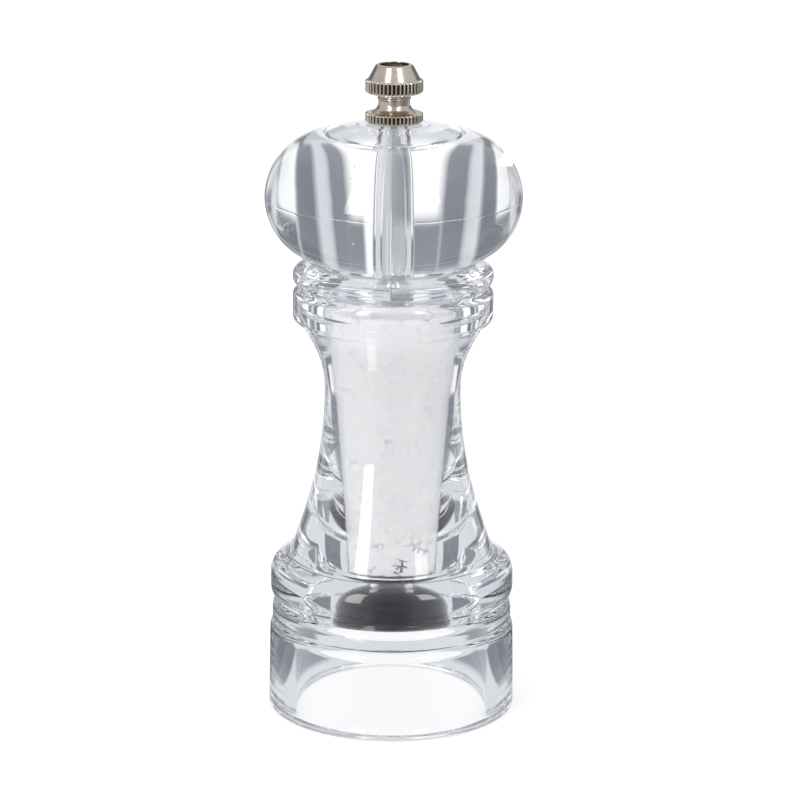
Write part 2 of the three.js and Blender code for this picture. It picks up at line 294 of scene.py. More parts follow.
def body_outline():
    """The body, from the inner edge of its foot up the outside and down through its hollows."""
    waist = (WAIST_RADIUS, WAIST_HEIGHT)
    return rounded(
        [
            at(CAVITY_RADIUS, 0, 0.8),
            at(BASE_RADIUS, 0, 0.9),
            at(BASE_TOP_RADIUS, BASE_TOP, 1.6),
            at(BASE_GROOVE_RADIUS, 22, 0.3),
            at(THIN_RING_RADIUS, 22.5, 1),
            at(THIN_RING_RADIUS, 26.2, 1.3),
            at(BEAD_GROOVE_RADIUS, 27.3, 0.3),
            at(BEAD_RADIUS, 28.6, 2.4),
            at(BEAD_RADIUS, 37.6, 4.2),
            at(25.4, 38.8, 0.7),
            at(BELL_RADIUS, BELL_FOOT, 0.2),
            *curve((BELL_RADIUS, BELL_FOOT), (21.2, 50), (16.8, 62), waist, 48),
            *curve(waist, (WAIST_RADIUS, 87), (18.8, 91.2), (22.2, 96.9), 36),
            at(22.9, COLLAR_FOOT, 0.3),
            at(COLLAR_RADIUS, 98, 1.2),
            at(COLLAR_RADIUS, 104.9, 1),
            at(COLLAR_GROOVE_RADIUS, 106.3, 0.3),
            at(COLLAR_RADIUS, 107.6, 1),
            at(COLLAR_RADIUS, 110.6, 1.6),
            at(21.2, COLLAR_TOP, 0.6),
            at(MOUTH_RADIUS, COLLAR_TOP, 0.4),
            at(MOUTH_RADIUS, HOPPER_TAPER_TOP + 0.6, 0.2),
            at(HOPPER_RADIUS_ABOVE, HOPPER_TAPER_TOP, 0.2),
            at(HOPPER_RADIUS_BELOW, POCKET_TOP, 0.4),
            at(POCKET_RADIUS, POCKET_TOP, 0.15),
            at(POCKET_RADIUS, CAVITY_CEILING, 0.3),
            at(CAVITY_RADIUS, CAVITY_CEILING, 1.2),
        ]
    )


def head_outline():
    """The head: tenon, foot, round and crown, then down its bore and square socket."""
    lowest = -math.acos((HEAD_FOOT_RADIUS - HEAD_ROUND_CENTRE) / HEAD_ROUND_RADIUS)
    steps = 90
    highest = math.acos(
        (CROWN_GROOVE_RADIUS + CROWN_GROOVE_HALF - HEAD_ROUND_CENTRE) / HEAD_ROUND_RADIUS
    )
    heights = [lowest + (highest - lowest) * i / steps for i in range(steps + 1)]
    seam_angle = SEAM_HALF / HEAD_ROUND_RISE
    heights = [a for a in heights if abs(a) > seam_angle * 1.5]
    heights += [seam_angle * share for share in (-1, -0.5, 0, 0.5, 1)]
    round_part = []
    for angle in sorted(heights):
        ridge = SEAM_RISE * max(0.0, 1 - abs(angle) / seam_angle)
        r = HEAD_ROUND_CENTRE + HEAD_ROUND_RADIUS * math.cos(angle) + ridge
        round_part.append(at(r, HEAD_MIDDLE + HEAD_ROUND_RISE * math.sin(angle)))
    return rounded(
        [
            at(SOCKET_WIDTH / 2, TENON_BOTTOM, 0.1),
            at(TENON_RADIUS, TENON_BOTTOM, 0.6),
            at(TENON_RADIUS, HEAD_FOOT, 0.3),
            at(HEAD_FOOT_RADIUS, HEAD_FOOT, 0.4),
            *round_part,
            at(CROWN_GROOVE_RADIUS, 142.95, 0.25),
            at(CROWN_GROOVE_RADIUS - CROWN_GROOVE_HALF, 143.65, 0.25),
            at(12.4, 145, 0.8),
            at(SEAT_RADIUS + 0.3, SEAT_HEIGHT - 0.25, 0.15),
            at(SEAT_RADIUS - 0.4, SEAT_HEIGHT, 0.15),
            at(HEAD_BORE_RADIUS, SEAT_HEIGHT, 0.15),
            at(HEAD_BORE_RADIUS, SQUARE_SOCKET_TOP, 0.1),
            at(SOCKET_WIDTH / 2, SQUARE_SOCKET_TOP - 0.2, 0.1),
        ]
    )


# ---- Mesh building ------------------------------------------------------------------------


def round_form(r, z, angles):
    """A ring that is a plain circle."""
    return np.full(len(angles), r)


def square_form(half, corner, angles):
    """A ring that is a square with rounded corners, turned with the bar."""
    quarter = math.pi / 2
    local = (angles - BAR_YAW + quarter / 2) % quarter - quarter / 2
    return np.minimum(half / np.cos(local), corner)


def spin(outline, segments, form=round_form, closed=True, turn=0.0):
    """Points, faces and normals of an outline spun about the mill's axis, in metres.

    form gives the radius of a ring at each angle. An outline that isn't closed starts and
    ends on the axis, and its ends become single points.
    """
    angles = turn + np.arange(segments) * 2 * math.pi / segments
    rings = outline if closed else outline[1:-1]
    points = np.zeros((len(rings), segments, 3))
    for i, (r, z) in enumerate(rings):
        reach = form(r, z, angles)
        points[i, :, 0] = reach * np.cos(angles)
        points[i, :, 1] = reach * np.sin(angles)
        points[i, :, 2] = z
    around = np.roll(points, -1, axis=1) - np.roll(points, 1, axis=1)
    ahead = np.roll(points, -1, axis=0) - points
    behind = points - np.roll(points, 1, axis=0)
    if not closed:
        ahead[-1] = np.array([0, 0, outline[-1][1]]) - points[-1]
        behind[0] = points[0] - np.array([0, 0, outline[0][1]])
    # A long flat side sets the normal where it meets a short step of a rounded corner.
    along = ahead * np.linalg.norm(ahead, axis=2, keepdims=True)
    along += behind * np.linalg.norm(behind, axis=2, keepdims=True)
    normals = np.cross(around, along)
    lengths = np.linalg.norm(normals, axis=2, keepdims=True)
    normals = normals / np.maximum(lengths, 1e-12)
    count = len(rings)
    faces = []
    for i in range(count if closed else count - 1):
        row = i * segments
        up = ((i + 1) % count) * segments
        for j in range(segments):
            k = (j + 1) % segments
            faces.append((row + j, row + k, up + k, up + j))
    points = points.reshape(-1, 3)
    normals = normals.reshape(-1, 3)
    if not closed:
        last = (count - 1) * segments
        foot = len(points)
        points = np.vstack([points, [0, 0, outline[0][1]], [0, 0, outline[-1][1]]])
        normals = np.vstack([normals, [0, 0, -1], [0, 0, 1]])
        for j in range(segments):
            k = (j + 1) % segments
            faces.append((foot, k, j))
            faces.append((foot + 1, last + j, last + k))
    return points * MM, faces, normals


def join(*parts):
    """One set of points, faces and normals from several."""
    points = np.vstack([part[0] for part in parts])
    normals = np.vstack([part[2] for part in parts])
    faces = []
    start = 0
    for part in parts:
        faces += [tuple(start + corner for corner in face) for face in part[1]]
        start += len(part[0])
    return points, faces, normals


def build(name, parts, body, material, replaced):
    """Makes a smooth piece that stands for a CAD node and rides on its body."""
    points, faces, normals = parts
    mesh = bpy.data.meshes.new(name)
    mesh.from_pydata(points.tolist(), [], faces)
    mesh.shade_smooth()
    if normals is not None:
        mesh.normals_split_custom_set_from_vertices(normals.tolist())
    mesh.materials.append(material)
    piece = bpy.data.objects.new(name, mesh)
    bpy.context.scene.collection.objects.link(piece)
    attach(piece, body)
    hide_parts(replaced)
    return piece


def bubble(centre, radius, steps=8):
    """A small ball that faces inward, which is a bubble in the solid around it."""
    outline = []
    for i in range(steps + 1):
        angle = -math.pi / 2 + math.pi * i / steps
        outline.append((radius * math.cos(angle), radius * math.sin(angle)))
    points, faces, normals = spin(outline, steps * 2, closed=False)
    faces = [face[::-1] for face in faces]
    return points + np.array(centre) * MM, faces, -normals


# ---- Materials ----------------------------------------------------------------------------


def new_material(name):
    """A material with its nodes, its links and its Principled shader."""
    material = bpy.data.materials.new(name)
    material.use_nodes = True
    nodes = material.node_tree.nodes
    return material, nodes, material.node_tree.links, nodes["Principled BSDF"]


def noise(nodes, links, scale, stretch=(1, 1, 1), detail=4.0, kind="ShaderNodeTexNoise"):
    """A texture fixed to the object, whose grain is longer where its stretch is small."""
    place = nodes.new("ShaderNodeTexCoord")
    mapping = nodes.new("ShaderNodeMapping")
    mapping.inputs["Scale"].default_value = stretch
    texture = nodes.new(kind)
    texture.inputs["Scale"].default_value = scale
    texture.inputs["Detail"].default_value = detail
    links.new(place.outputs["Object"], mapping.inputs["Vector"])
    links.new(mapping.outputs["Vector"], texture.inputs["Vector"])
    return texture


def ramp(nodes, links, source, low, high, colour_low, colour_high):
    """A colour that goes from one to another as the source goes from low to high."""
    node = nodes.new("ShaderNodeValToRGB")
    node.color_ramp.elements[0].position = low
    node.color_ramp.elements[1].position = high
    node.color_ramp.elements[0].color = (*colour_low, 1)
    node.color_ramp.elements[1].color = (*colour_high, 1)
    links.new(source, node.inputs["Fac"])
    return node.outputs["Color"]


def spread(nodes, links, source, low, high):
    """A number that goes from low to high as the source goes from 0.3 to 0.7."""
    node = nodes.new("ShaderNodeMapRange")
    node.inputs["From Min"].default_value = 0.3
    node.inputs["From Max"].default_value = 0.7
    node.inputs["To Min"].default_value = low
    node.inputs["To Max"].default_value = high
    links.new(source, node.inputs["Value"])
    return node.outputs["Result"]


def bump(nodes, links, height, shader, distance):
    """Fine relief from a texture."""
    node = nodes.new("ShaderNodeBump")
    node.inputs["Distance"].default_value = distance
    node.inputs["Strength"].default_value = 1.0
    links.new(height, node.inputs["Height"])
    links.new(node.outputs["Normal"], shader.inputs["Normal"])


def maths(nodes, links, operation, first, second=None, third=None):
    """One Math node. Each input is a number or another node's output."""
    node = nodes.new("ShaderNodeMath")
    node.operation = operation
    for slot, value in zip(node.inputs, (first, second, third)):
        if value is None:
            continue
        if isinstance(value, (int, float)):
            slot.default_value = value
        else:
            links.new(value, slot)
    return node.outputs[0]


def soft_step(nodes, links, value, low, high, before=0.0, after=1.0):
    """A smooth change from one number to another as the value goes from low to high."""
    node = nodes.new("ShaderNodeMapRange")
    node.interpolation_type = "SMOOTHSTEP"
    node.inputs["From Min"].default_value = low
    node.inputs["From Max"].default_value = high
    node.inputs["To Min"].default_value = before
    node.inputs["To Max"].default_value = after
    links.new(value, node.inputs["Value"])
    return node.outputs["Result"]


def window(nodes, links, value, low, high, soft):
    """1 where the value lies between low and high, falling softly to 0 outside."""
    rise = soft_step(nodes, links, value, low - soft, low + soft)
    fall = soft_step(nodes, links, value, high - soft, high + soft, 1.0, 0.0)
    return maths(nodes, links, "MULTIPLY", rise, fall)


def mix_colour(nodes, links, share, first, second):
    """A mix of two colours, each a triple or another node's output."""
    node = nodes.new("ShaderNodeMix")
    node.data_type = "RGBA"
    factor, a, b = node.inputs[0], node.inputs[6], node.inputs[7]
    links.new(share, factor)
    for slot, value in ((a, first), (b, second)):
        if isinstance(value, tuple):
            slot.default_value = (*value, 1)
        else:
            links.new(value, slot)
    return node.outputs[2]


def object_axes(nodes, links):
    """The object's own x, y and z at the shaded point, in metres."""
    place = nodes.new("ShaderNodeTexCoord")
    split = nodes.new("ShaderNodeSeparateXYZ")
    links.new(place.outputs["Object"], split.inputs[0])
    return split.outputs


def off_axis(nodes, links, x, y):
    """The distance from the mill's axis."""
    across = maths(nodes, links, "MULTIPLY", x, x)
    return maths(nodes, links, "SQRT", maths(nodes, links, "MULTIPLY_ADD", y, y, across))


def acrylic(name):
    """Clear moulded acrylic with faint flow waves and a trace of handling marks."""
    material, nodes, links, shader = new_material(name)
    shader.inputs["Base Color"].default_value = (0.985, 0.99, 1.0, 1)
    shader.inputs["Transmission Weight"].default_value = 1.0
    shader.inputs["IOR"].default_value = 1.49
    marks = noise(nodes, links, 70.0, detail=6.0)
    links.new(spread(nodes, links, marks.outputs["Fac"], 0.018, 0.045), shader.inputs["Roughness"])
    waves = noise(nodes, links, 90.0, stretch=(1, 1, 0.35), detail=1.0)
    bump(nodes, links, waves.outputs["Fac"], shader, 0.00001)
    return material


def salt_material():
    """Coarse salt: near-white packed crystals, with painted shade in the gaps between loose ones at
    the foot.
    """
    material, nodes, links, shader = new_material("salt_crystals")
    grains = noise(nodes, links, 420.0, kind="ShaderNodeTexVoronoi")
    grains.feature = "F1"
    light = (0.95, 0.95, 0.95)
    shade = (0.90, 0.90, 0.90)
    tone = ramp(nodes, links, grains.outputs["Distance"], 0.0, 0.9, light, shade)
    # Painted shade: the gaps between loose crystals at the foot are painted near black, for the
    # shade in the voids between them.
    edges = noise(nodes, links, 520.0, kind="ShaderNodeTexVoronoi")
    edges.feature = "DISTANCE_TO_EDGE"
    gap_shade = soft_step(nodes, links, edges.outputs["Distance"], 0.03, 0.09, 1.0, 0.0)
    x, _, z = object_axes(nodes, links)
    lowest, highest = LOOSE_SALT_HEIGHTS
    foot = window(nodes, links, z, lowest * MM, highest * MM, 4.5 * MM)
    left, right = LOOSE_SALT_SIDES
    side = window(nodes, links, x, left * MM, right * MM, 3 * MM)
    patches = soft_step(nodes, links, noise(nodes, links, 260.0).outputs["Fac"], 0.5, 0.62)
    loose = maths(nodes, links, "MULTIPLY", maths(nodes, links, "MULTIPLY", foot, side), patches)
    gap_shade = maths(nodes, links, "MULTIPLY", gap_shade, loose)
    tone = mix_colour(nodes, links, gap_shade, tone, (0.10, 0.10, 0.11))
    links.new(tone, shader.inputs["Base Color"])
    shader.inputs["Roughness"].default_value = 0.55
    bump(nodes, links, grains.outputs["Distance"], shader, 0.00008)
    return material


def nickel():
    """Nickel plate over brass: warm, turned round, with painted shade dark brown in the knurl and
    at its edges.
    """
    material, nodes, links, shader = new_material("nickel_plate")
    shader.inputs["Metallic"].default_value = 1.0
    cloud = noise(nodes, links, 160.0, detail=5.0)
    dull = (0.56, 0.485, 0.405)
    bright = (0.66, 0.59, 0.51)
    tone = ramp(nodes, links, cloud.outputs["Fac"], 0.35, 0.7, dull, bright)
    # Painted shade: the plate is painted dark brown where it turns away from the view, standing in
    # for the dark reflections at its edges.
    turned_away = nodes.new("ShaderNodeLayerWeight")
    turned_away.inputs["Blend"].default_value = 0.5
    dark = soft_step(nodes, links, turned_away.outputs["Facing"], 0.35, 0.95)
    tone = mix_colour(nodes, links, dark, tone, (0.26, 0.20, 0.15))
    x, y, z = object_axes(nodes, links)
    radius = off_axis(nodes, links, x, y)
    # Painted shade: the knurl's grooves are painted dark brown, standing in for the shade inside
    # them.
    groove_top = KNURL_RADIUS - 0.24
    groove_shade = window(nodes, links, radius, KNURL_INNER_RADIUS * MM, groove_top * MM, 0.06 * MM)
    rings = [
        window(nodes, links, z, (bottom + 0.1) * MM, (top - 0.1) * MM, 0.1 * MM)
        for bottom, top in (
            (NUT_BOTTOM + 0.4, LOWER_KNURL_TOP),
            (UPPER_KNURL_BOTTOM, UPPER_KNURL_TOP),
        )
    ]
    either = maths(nodes, links, "MAXIMUM", *rings)
    groove_shade = maths(nodes, links, "MULTIPLY", groove_shade, either)
    tone = mix_colour(nodes, links, groove_shade, tone, (0.10, 0.075, 0.055))
    links.new(tone, shader.inputs["Base Color"])
    marks = noise(nodes, links, 60.0, stretch=(1, 1, 60), detail=3.0)
    links.new(spread(nodes, links, marks.outputs["Fac"], 0.12, 0.26), shader.inputs["Roughness"])
    bump(nodes, links, marks.outputs["Fac"], shader, 0.00002)
    return material


def aluminium():
    """Satin aluminium bar with fine lines along it."""
    material, nodes, links, shader = new_material("aluminium_bar")
    shader.inputs["Metallic"].default_value = 0.85
    lines = noise(nodes, links, 900.0, stretch=(1, 1, 0.02), detail=4.0)
    dull = (0.75, 0.755, 0.76)
    bright = (0.85, 0.855, 0.86)
    tone = ramp(nodes, links, lines.outputs["Fac"], 0.3, 0.7, dull, bright)
    links.new(tone, shader.inputs["Base Color"])
    links.new(spread(nodes, links, lines.outputs["Fac"], 0.28, 0.46), shader.inputs["Roughness"])
    bump(nodes, links, lines.outputs["Fac"], shader, 0.00003)
    return material


def moulded(name, dark, light, roughness, grain):
    """Moulded plastic or ceramic: a fine grain in its colour, gloss and surface."""
    material, nodes, links, shader = new_material(name)
    cloud = noise(nodes, links, grain, detail=6.0)
    tone = ramp(nodes, links, cloud.outputs["Fac"], 0.3, 0.7, dark, light)
    links.new(tone, shader.inputs["Base Color"])
    low, high = roughness
    links.new(spread(nodes, links, cloud.outputs["Fac"], low, high), shader.inputs["Roughness"])
    bump(nodes, links, cloud.outputs["Fac"], shader, 0.00004)
    return material


def steel():
    """Bright drawn wire and stamped steel."""
    material, nodes, links, shader = new_material("stainless_steel")
    shader.inputs["Metallic"].default_value = 1.0
    cloud = noise(nodes, links, 500.0, detail=4.0)
    tone = ramp(nodes, links, cloud.outputs["Fac"], 0.3, 0.7, (0.52, 0.53, 0.54), (0.68, 0.69, 0.7))
    links.new(tone, shader.inputs["Base Color"])
    links.new(spread(nodes, links, cloud.outputs["Fac"], 0.18, 0.34), shader.inputs["Roughness"])
    return material


# ---- Studio -------------------------------------------------------------------------------


def studio_colour(tone):
    """A studio grey: neutral where it is light and slightly blue where it is dark."""
    share = min(1.0, tone)
    return tuple(tone * (tint + (1 - tint) * share) for tint in DARK_TINT)


def studio_bands(nodes, links, x, y):
    """The studio's colour by the angle about the mill, then that angle with and without sign."""
    azimuth = maths(nodes, links, "ARCTAN2", x, y)  # 0 behind the mill, +-180 at the camera
    azimuth = maths(nodes, links, "MULTIPLY", azimuth, 180 / math.pi)
    share = maths(nodes, links, "MULTIPLY_ADD", azimuth, 1 / 360, 0.5)
    bands = nodes.new("ShaderNodeValToRGB")
    stops = bands.color_ramp.elements
    while len(stops) < len(STUDIO_BANDS):
        stops.new(0.5)
    for stop, (angle, tone) in zip(stops, STUDIO_BANDS):
        stop.position = angle / 360 + 0.5
        stop.color = (*studio_colour(tone), 1)
    links.new(share, bands.inputs["Fac"])
    return bands.outputs["Color"], azimuth, maths(nodes, links, "ABSOLUTE", azimuth)


def make_world():
    """A studio with light panels behind the mill and two upright strip lights in front.

    The camera sees plain white around the mill.
    """
    world = bpy.data.worlds.new("studio")
    bpy.context.scene.world = world
    world.use_nodes = True
    nodes = world.node_tree.nodes
    links = world.node_tree.links
    backdrop = nodes["Background"]
    place = nodes.new("ShaderNodeTexCoord")
    split = nodes.new("ShaderNodeSeparateXYZ")
    links.new(place.outputs["Generated"], split.inputs[0])
    x, y, z = split.outputs
    elevation = maths(nodes, links, "MULTIPLY", maths(nodes, links, "ARCSINE", z), 180 / math.pi)
    room, azimuth, off_centre = studio_bands(nodes, links, x, y)
    panels = window(nodes, links, off_centre, *SIDE_PANEL, 1.0)
    above_panels = soft_step(nodes, links, elevation, *SIDE_PANEL_TOP)
    cut = maths(nodes, links, "MULTIPLY", panels, above_panels)
    room = mix_colour(nodes, links, cut, room, studio_colour(GAP_TONE))
    above_table = soft_step(nodes, links, elevation, *TABLE_EDGE)
    for low, high in BESIDE_CENTRE:
        beside = window(nodes, links, azimuth, low, high, 0.8)
        cut = maths(nodes, links, "MULTIPLY", beside, above_table)
        room = mix_colour(nodes, links, cut, room, studio_colour(BESIDE_TONE))
    side_wall = window(nodes, links, off_centre, *SIDE_WALL, 2.0)
    raised = soft_step(nodes, links, elevation, *SIDE_WALL_FOOT)
    light_side = maths(nodes, links, "MULTIPLY", side_wall, raised)
    upper = soft_step(nodes, links, elevation, *UPPER_FOOT)
    upper = maths(nodes, links, "MAXIMUM", upper, light_side)
    centre = window(nodes, links, azimuth, *UPPER_GAP, 0.8)
    upper = maths(nodes, links, "SUBTRACT", upper, maths(nodes, links, "MULTIPLY", upper, centre))
    room = mix_colour(nodes, links, upper, room, studio_colour(UPPER_TONE))
    path = nodes.new("ShaderNodeLightPath")
    inside = maths(nodes, links, "GREATER_THAN", path.outputs["Transmission Depth"], 0.5)
    power = mix_colour(nodes, links, inside, (STRIP_POWER,) * 3, (STRIP_POWER_INSIDE,) * 3)
    half = STRIP_WIDTH / 2
    strips = ((STRIP_ANGLE - 180, STRIP_FOOT_LEFT), (180 - STRIP_ANGLE, STRIP_FOOT_RIGHT))
    for middle, foot in strips:
        across = window(nodes, links, azimuth, middle - half, middle + half, 1.5)
        upright = window(nodes, links, elevation, foot, STRIP_TOP, 3)
        strip = maths(nodes, links, "MULTIPLY", across, upright)
        room = mix_colour(nodes, links, strip, room, power)
    after_matt = maths(nodes, links, "GREATER_THAN", path.outputs["Diffuse Depth"], 0.5)
    side = nodes.new("ShaderNodeMapRange")
    side.inputs["From Min"].default_value = -1.0
    side.inputs["From Max"].default_value = 1.0
    side.inputs["To Min"].default_value = MATT_LIGHT_LEFT
    side.inputs["To Max"].default_value = MATT_LIGHT_RIGHT
    links.new(x, side.inputs["Value"])
    room = mix_colour(nodes, links, after_matt, room, side.outputs["Result"])
    room = mix_colour(nodes, links, path.outputs["Is Camera Ray"], room, (BACKDROP_TONE,) * 3)
    links.new(room, backdrop.inputs["Color"])


def make_floor():
    """A plain pale floor that carries the reflections of the panels outward from the mill."""
    mesh = bpy.data.meshes.new("floor")
    reach = 12.0
    drop = -0.00005
    signs = ((-1, -1), (1, -1), (1, 1), (-1, 1))
    corners = [(side * reach, depth * reach, drop) for side, depth in signs]
    mesh.from_pydata(corners, [], [(0, 1, 2, 3)])
    material = bpy.data.materials.new("pale_floor")
    material.use_nodes = True
    nodes = material.node_tree.nodes
    links = material.node_tree.links
    nodes.remove(nodes["Principled BSDF"])
    x, y, _ = object_axes(nodes, links)
    distance = off_axis(nodes, links, x, y)
    far, _, off_centre = studio_bands(nodes, links, x, y)
    dark = window(nodes, links, off_centre, *NEAR_DARK, 2.0)
    clear_of_mill = soft_step(nodes, links, distance, *NEAR_DARK_START)
    dark = maths(nodes, links, "MULTIPLY", dark, clear_of_mill)
    pale = studio_colour(NEAR_FLOOR_TONE)
    near = mix_colour(nodes, links, dark, pale, studio_colour(GAP_TONE))
    front = soft_step(nodes, links, off_centre, *NEAR_FRONT)
    near = mix_colour(nodes, links, front, near, studio_colour(NEAR_FRONT_TONE))
    under = soft_step(nodes, links, distance, *UNDER_MILL)
    near = mix_colour(nodes, links, under, (UNDER_MILL_TONE,) * 3, near)
    outward = soft_step(nodes, links, distance, *NEAR_FLOOR)
    seen = mix_colour(nodes, links, outward, near, far)
    path = nodes.new("ShaderNodeLightPath")
    after_matt = maths(nodes, links, "GREATER_THAN", path.outputs["Diffuse Depth"], 0.5)
    seen = mix_colour(nodes, links, after_matt, seen, (MATT_LIGHT_BELOW,) * 3)
    glow = nodes.new("ShaderNodeEmission")
    links.new(seen, glow.inputs["Color"])
    paper = nodes.new("ShaderNodeBsdfDiffuse")
    paper.inputs["Color"].default_value = (PAPER_TONE, PAPER_TONE, PAPER_TONE, 1)
    lift = nodes.new("ShaderNodeEmission")
    lift.inputs["Strength"].default_value = FLOOR_LIFT
    plain = nodes.new("ShaderNodeAddShader")
    links.new(paper.outputs[0], plain.inputs[0])
    links.new(lift.outputs[0], plain.inputs[1])
    both = nodes.new("ShaderNodeMixShader")
    links.new(path.outputs["Is Camera Ray"], both.inputs[0])
    links.new(glow.outputs[0], both.inputs[1])
    links.new(plain.outputs[0], both.inputs[2])
    links.new(both.outputs[0], nodes["Material Output"].inputs["Surface"])
    mesh.materials.append(material)
    floor = bpy.data.objects.new("floor", mesh)
    bpy.context.scene.collection.objects.link(floor)


def make_camera():
    """The camera: in front of the mill, above its middle, and slightly rolled."""
    camera = bpy.data.cameras.new("camera")
    camera.lens = CAMERA_LENS
    camera.sensor_width = 36
    camera.clip_start = 0.01
    camera.clip_end = 60
    holder = bpy.data.objects.new("camera", camera)
    holder.location = (CAMERA_SIDE, -CAMERA_DISTANCE, CAMERA_HEIGHT)
    pitch = math.atan2(CAMERA_HEIGHT - AIM_HEIGHT, CAMERA_DISTANCE)
    level = Euler((math.pi / 2 - pitch, 0, 0)).to_matrix()
    roll = Matrix.Rotation(CAMERA_ROLL, 3, "Z")
    holder.rotation_euler = (level @ roll).to_euler()
    bpy.context.scene.collection.objects.link(holder)
    bpy.context.scene.camera = holder


# ---- The mill's pieces --------------------------------------------------------------------


def make_body(material):
    """The clear body, spun whole with its hollows."""
    parts = spin(body_outline(), CLEAR_SEGMENTS)
    return build("acrylic_body", parts, "root", material, "body")


def head_form(r, z, angles):
    """The head is round, but its socket for the bar is square."""
    if z < SQUARE_SOCKET_TOP and r < SOCKET_WIDTH / 2 + 0.3:
        return square_form(r, r * SOCKET_CORNER_SHARE, angles)
    return round_form(r, z, angles)


def make_head(material):
    """The clear head, with a few small bubbles inside it."""
    parts = [spin(head_outline(), CLEAR_SEGMENTS, head_form, turn=BAR_YAW)]
    rng = np.random.default_rng(SEED)
    for _ in range(BUBBLES):
        angle = rng.uniform(0, 2 * math.pi)
        reach = rng.uniform(10, 27)
        height = HEAD_MIDDLE + rng.uniform(-8, 9)
        centre = (reach * math.cos(angle), reach * math.sin(angle), height)
        parts.append(bubble(centre, rng.uniform(0.07, 0.2)))
    return build("acrylic_head", join(*parts), "head", material, "head")


def hopper_radius(z):
    """The radius of the hopper's wall at a height."""
    share = (z - POCKET_TOP) / (HOPPER_TAPER_TOP - POCKET_TOP)
    return HOPPER_RADIUS_BELOW + (HOPPER_RADIUS_ABOVE - HOPPER_RADIUS_BELOW) * share


def make_salt(material):
    """Coarse salt: a packed column whose surface is broken into small flat crystals."""
    rng = np.random.default_rng(SEED + 1)
    top = hopper_radius(SALT_TOP) - SALT_GAP
    bottom = hopper_radius(SALT_BOTTOM) - SALT_GAP
    outline = [(SALT_HOLLOW_RADIUS, SALT_BOTTOM)]
    side_steps = 120
    for i in range(side_steps + 1):
        share = i / side_steps
        z = SALT_BOTTOM + (SALT_TOP - SALT_BOTTOM) * share
        outline.append((bottom + (top - bottom) * share, z))
    top_steps = 22
    for i in range(1, top_steps):
        outline.append((top - (top - SALT_HOLE_RADIUS) * i / top_steps, SALT_TOP))
    outline.append((SALT_HOLE_RADIUS, SALT_TOP))
    outline.append((SALT_HOLE_RADIUS, SALT_HOLLOW_TOP))
    outline.append((SALT_HOLLOW_RADIUS, SALT_HOLLOW_TOP))
    points, faces, _ = spin(outline, SALT_SEGMENTS)
    points = points / MM
    seeds = np.zeros((SALT_CRYSTALS, 3))
    turn = rng.uniform(0, 2 * math.pi, SALT_CRYSTALS)
    reach = 15 * np.sqrt(rng.uniform(0.05, 1, SALT_CRYSTALS))
    seeds[:, 0] = reach * np.cos(turn)
    seeds[:, 1] = reach * np.sin(turn)
    seeds[:, 2] = rng.uniform(SALT_BOTTOM - 2, SALT_TOP + 2, SALT_CRYSTALS)
    tilt = rng.normal(0, 0.15, (SALT_CRYSTALS, 3))
    depth = rng.uniform(0.0, 0.2, SALT_CRYSTALS)
    tree = kdtree.KDTree(SALT_CRYSTALS)
    for i, seed in enumerate(seeds):
        tree.insert(seed, i)
    tree.balance()
    moved = points.copy()
    for i, point in enumerate(points):
        radius = math.hypot(point[0], point[1])
        outside = radius > hopper_radius(point[2]) - SALT_GAP - 0.01
        on_top = point[2] > SALT_TOP - 0.01 and radius > SALT_HOLE_RADIUS + 0.1
        if not (outside or on_top):
            continue
        _, index, _ = tree.find(point)
        lean = float(np.dot(tilt[index], point - seeds[index]))
        sink = min(SALT_DEEPEST, max(0.0, depth[index] + lean))
        if outside:
            moved[i, :2] *= (radius - sink) / radius
        if on_top:
            moved[i, 2] -= sink * 1.6
    return build("coarse_salt", (moved * MM, faces, None), "root", material, "salt_fill")


def make_shaft(material):
    """The square bar with softened corners, its grooved end and its threaded stud."""
    stud = []
    turns = int((STUD_TOP - STUD_FOOT - 1.2) / THREAD_PITCH)
    for i in range(turns):
        z = STUD_FOOT + 0.4 + i * THREAD_PITCH
        stud += [at(STUD_RADIUS, z), at(STUD_RADIUS, z + 0.15)]
        stud += [at(STUD_RADIUS - THREAD_DEPTH, z + 0.4)]
        stud += [at(STUD_RADIUS - THREAD_DEPTH, z + 0.5)]
    outline = rounded(
        [
            at(0, SHAFT_BOTTOM),
            at(SHAFT_END_RADIUS, SHAFT_BOTTOM, 0.3),
            at(SHAFT_END_RADIUS, CLIP_BOTTOM, 0.05),
            at(SHAFT_END_RADIUS - 0.5, CLIP_BOTTOM, 0.05),
            at(SHAFT_END_RADIUS - 0.5, CLIP_TOP, 0.05),
            at(SHAFT_END_RADIUS, CLIP_TOP, 0.05),
            at(SHAFT_END_RADIUS, SQUARE_BOTTOM, 0.05),
            at(BAR_WIDTH / 2, SQUARE_BOTTOM, 0.1),
            at(BAR_WIDTH / 2, STUD_FOOT, 0.1),
            *stud,
            at(STUD_RADIUS, STUD_TOP, 0.3),
            at(0, STUD_TOP),
        ],
        closed=False,
        steps=4,
    )

    def bar_form(r, z, angles):
        if z < SQUARE_BOTTOM or z > STUD_FOOT:
            return round_form(r, z, angles)
        return square_form(r, BAR_CORNER_RADIUS, angles)

    parts = spin(outline, BAR_SEGMENTS, bar_form, closed=False, turn=BAR_YAW)
    return build("drive_bar", parts, "shaft", material, "drive_shaft")


